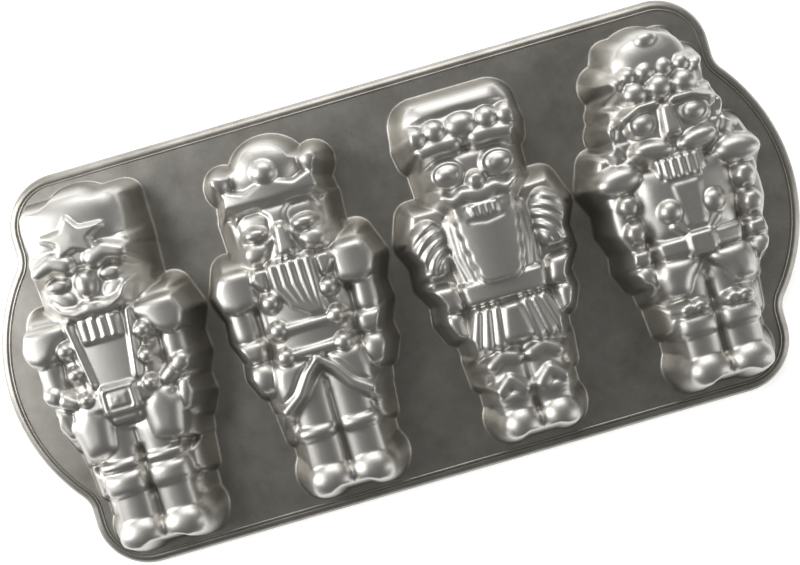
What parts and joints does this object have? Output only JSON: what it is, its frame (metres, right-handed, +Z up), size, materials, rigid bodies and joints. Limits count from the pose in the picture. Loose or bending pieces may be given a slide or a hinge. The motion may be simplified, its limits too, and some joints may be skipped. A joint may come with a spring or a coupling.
{
  "type": "cakelet pan",
  "caption": "Cast aluminium cakelet pan with nutcracker-figure cavities, shown upside down so that the moulded figures stand up from its deck, with a bowed grip at each end.",
  "frame": {"origin": "centre of the pan's outline on the plane that the rim's lip rests on", "axes": "+X along the pan from the left grip to the right grip, +Y from the figures' boots to their hats, +Z up from the resting lip to the figures' noses"},
  "size_m": [0.39, 0.193, 0.0371],
  "materials": {
    "cast_aluminium": "satin, fine grain from sand casting"
  },
  "bodies": {
    "root": {"deck_plate": "cast_aluminium", "front_rim": "cast_aluminium", "back_rim": "cast_aluminium", "left_grip_rim": "cast_aluminium", "right_grip_rim": "cast_aluminium", "soldier_hat": "cast_aluminium", "soldier_head": "cast_aluminium", "soldier_coat": "cast_aluminium", "soldier_legs": "cast_aluminium", "king_hat": "cast_aluminium", "king_head": "cast_aluminium", "king_coat": "cast_aluminium", "king_legs": "cast_aluminium", "elder_hat": "cast_aluminium", "elder_head": "cast_aluminium", "elder_coat": "cast_aluminium", "elder_legs": "cast_aluminium", "hussar_hat": "cast_aluminium", "hussar_head": "cast_aluminium", "hussar_coat": "cast_aluminium", "hussar_legs": "cast_aluminium"}
  },
  "joints": []
}
